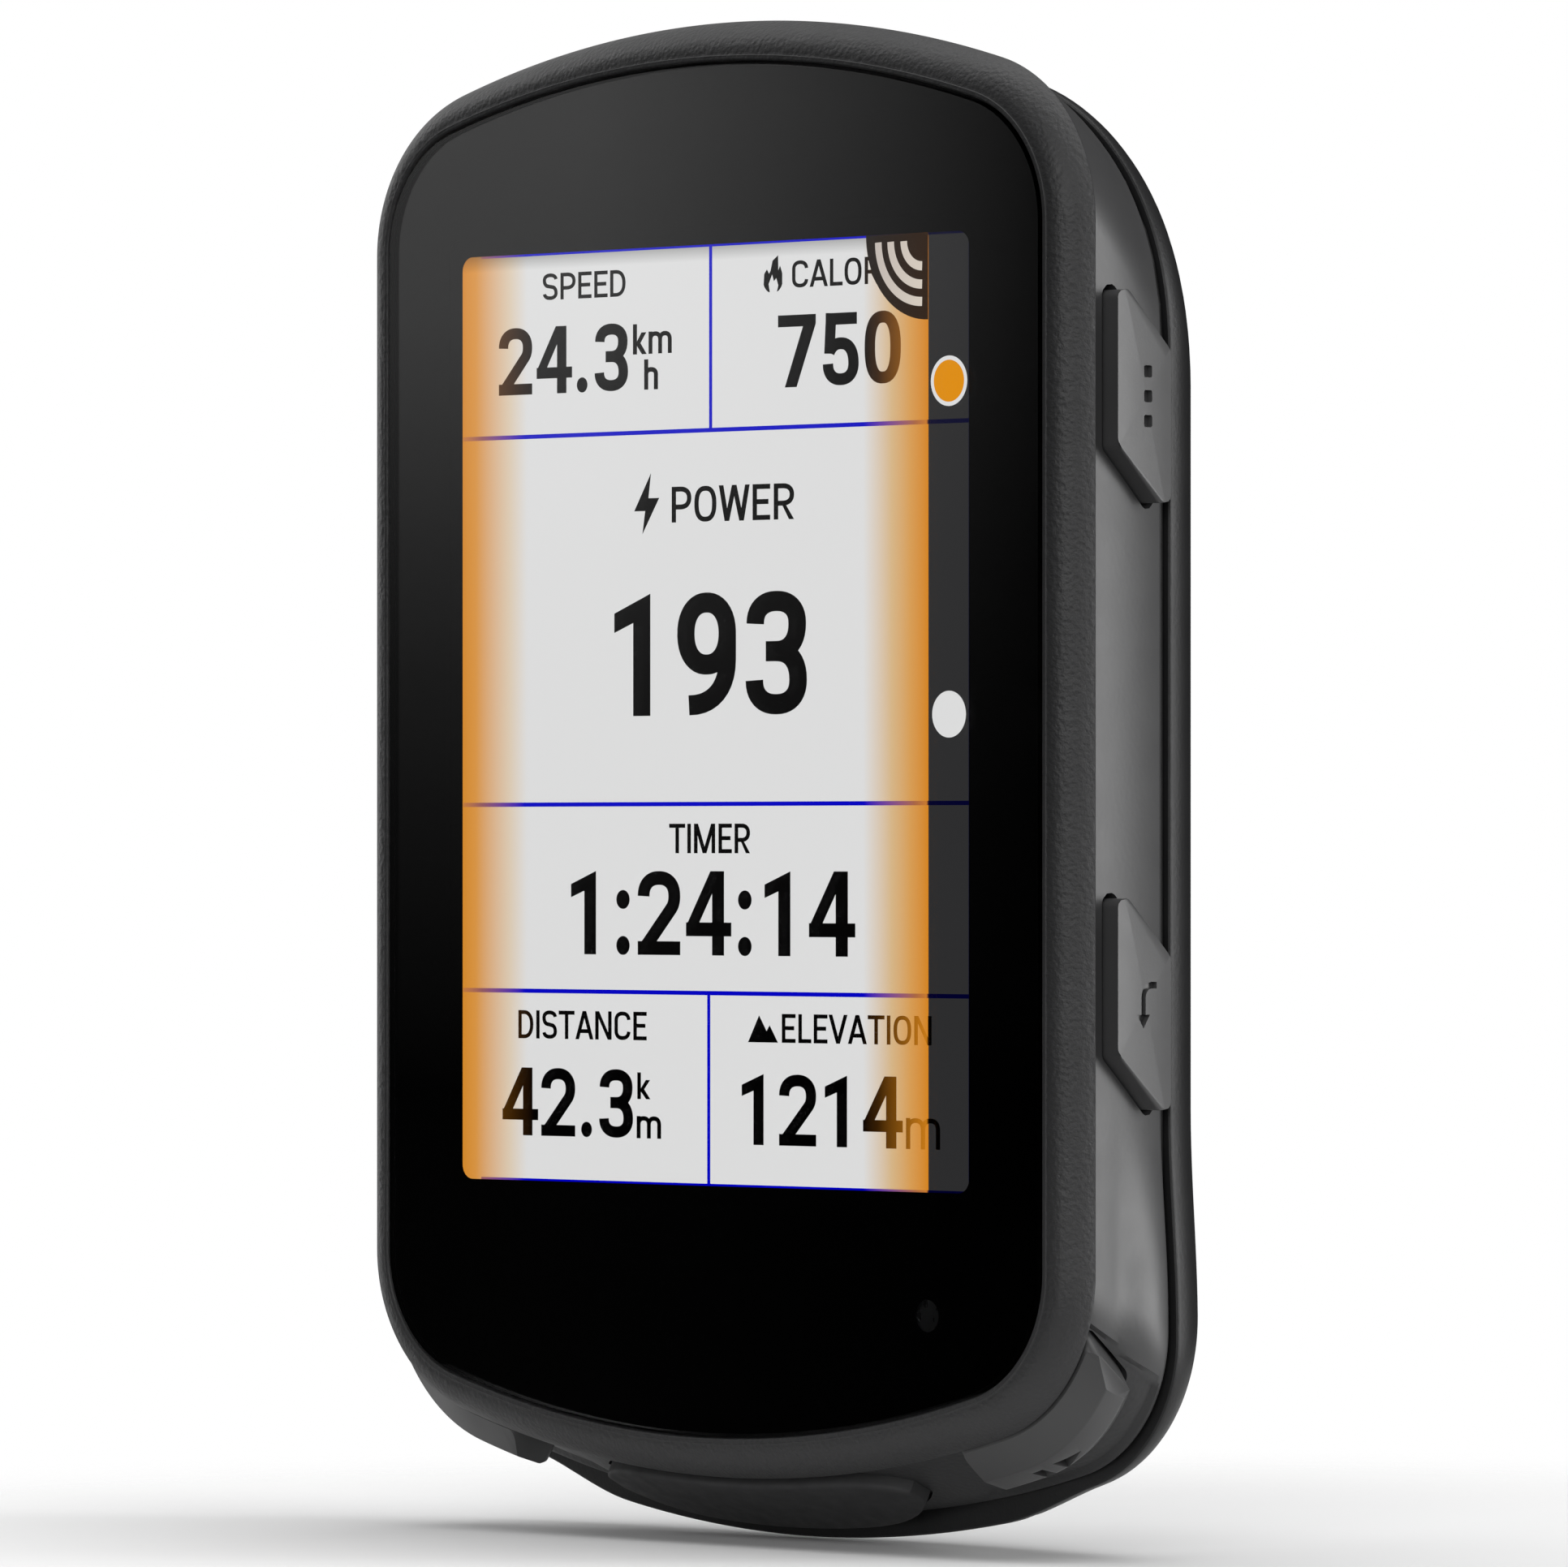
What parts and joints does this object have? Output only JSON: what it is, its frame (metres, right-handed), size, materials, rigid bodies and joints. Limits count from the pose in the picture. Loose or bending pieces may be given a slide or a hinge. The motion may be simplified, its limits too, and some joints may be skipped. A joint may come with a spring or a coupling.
{
  "type": "cycling computer",
  "caption": "Handlebar cycling computer with a tall screen under glass, push buttons on its sides and lower corners, a rubber port flap and a quarter-turn mount.",
  "frame": {"origin": "centre of the quarter-turn mount's flat rear face", "axes": "+Z along the long side of the device, towards its top edge; -Y out of the screen; +X to the right as the rider sees it"},
  "size_m": [0.0578, 0.0196, 0.0849],
  "materials": {
    "bezel_plastic": "fine grain",
    "housing_plastic": "satin",
    "button_plastic": "satin",
    "frame_plastic": "moulded",
    "black_plastic": "moulded",
    "connector_plastic": "moulded",
    "black_rubber": "matt",
    "ink_glass": "polished, black ink behind its border",
    "sensor": "smoked",
    "display": "laminated",
    "board": "solder mask",
    "bright_metal": "tinned",
    "screw_steel": "black oxide",
    "ceramic": "fired ceramic",
    "membrane": "felted",
    "foil": "laminated foil",
    "polyimide": "film"
  },
  "bodies": {
    "case": {"front_bezel": "bezel_plastic", "side_housing": "housing_plastic", "rear_cover": "housing_plastic", "housing_seal": "black_rubber", "cover_glass": "ink_glass", "glass_gasket": "black_rubber", "light_sensor": "sensor", "lcd_panel": "display", "lcd_backlight": "display", "mid_frame": "frame_plastic", "main_board": "board", "rf_shield": "bright_metal", "gnss_antenna": "ceramic", "buzzer": "black_plastic", "barometer": "bright_metal", "vent_membrane": "membrane", "battery_connector": "connector_plastic", "battery_cell": "foil", "display_flex": "polyimide", "usb_receptacle": "bright_metal", "mount_insert": "black_plastic", "case_screw_1": "screw_steel", "case_screw_2": "screw_steel", "case_screw_3": "screw_steel", "case_screw_4": "screw_steel", "mount_screw_1": "screw_steel", "mount_screw_2": "screw_steel", "menu_seal": "black_rubber", "menu_switch": "bright_metal", "back_seal": "black_rubber", "back_switch": "bright_metal", "power_seal": "black_rubber", "power_switch": "bright_metal", "scroll_up_seal": "black_rubber", "scroll_up_switch": "bright_metal", "scroll_down_seal": "black_rubber", "scroll_down_switch": "bright_metal", "start_stop_seal": "black_rubber", "start_stop_switch": "bright_metal", "lap_seal": "black_rubber", "lap_switch": "bright_metal"},
    "menu_key": {"menu_button": "button_plastic", "menu_plunger": "black_plastic"},
    "back_key": {"back_button": "button_plastic", "back_plunger": "black_plastic"},
    "power_key": {"power_button": "button_plastic", "power_plunger": "black_plastic"},
    "scroll_up_key": {"scroll_up_button": "button_plastic", "scroll_up_plunger": "black_plastic"},
    "scroll_down_key": {"scroll_down_button": "button_plastic", "scroll_down_plunger": "black_plastic"},
    "start_stop_key": {"start_stop_button": "button_plastic", "start_stop_plunger": "black_plastic"},
    "lap_key": {"lap_button": "button_plastic", "lap_plunger": "black_plastic"},
    "usb_flap": {"usb_cap": "black_rubber"}
  },
  "joints": [
    {"name": "menu_press", "type": "slide", "parent": "case", "child": "menu_key", "axis": [-1, 0, 0], "range_m": [0, 0.0004], "stiffness_N_per_m": 2000, "springref_m": -0.0004},
    {"name": "back_press", "type": "slide", "parent": "case", "child": "back_key", "axis": [-1, 0, 0], "range_m": [0, 0.0004], "stiffness_N_per_m": 2000, "springref_m": -0.0004},
    {"name": "power_press", "type": "slide", "parent": "case", "child": "power_key", "axis": [1, 0, 0], "range_m": [0, 0.0004], "stiffness_N_per_m": 2000, "springref_m": -0.0004},
    {"name": "scroll_up_press", "type": "slide", "parent": "case", "child": "scroll_up_key", "axis": [1, 0, 0], "range_m": [0, 0.0004], "stiffness_N_per_m": 2000, "springref_m": -0.0004},
    {"name": "scroll_down_press", "type": "slide", "parent": "case", "child": "scroll_down_key", "axis": [1, 0, 0], "range_m": [0, 0.0004], "stiffness_N_per_m": 2000, "springref_m": -0.0004},
    {"name": "start_stop_press", "type": "slide", "parent": "case", "child": "start_stop_key", "axis": [-0.5602, 0, 0.8283], "range_m": [0, 0.0004], "stiffness_N_per_m": 2000, "springref_m": -0.0004},
    {"name": "lap_press", "type": "slide", "parent": "case", "child": "lap_key", "axis": [0.5602, 0, 0.8283], "range_m": [0, 0.0004], "stiffness_N_per_m": 2000, "springref_m": -0.0004},
    {"name": "usb_flap_hinge", "type": "hinge", "parent": "case", "child": "usb_flap", "pos_m": [0, -0.01241, -0.04209], "axis": [1, 0, 0], "range_deg": [0, 100]}
  ]
}
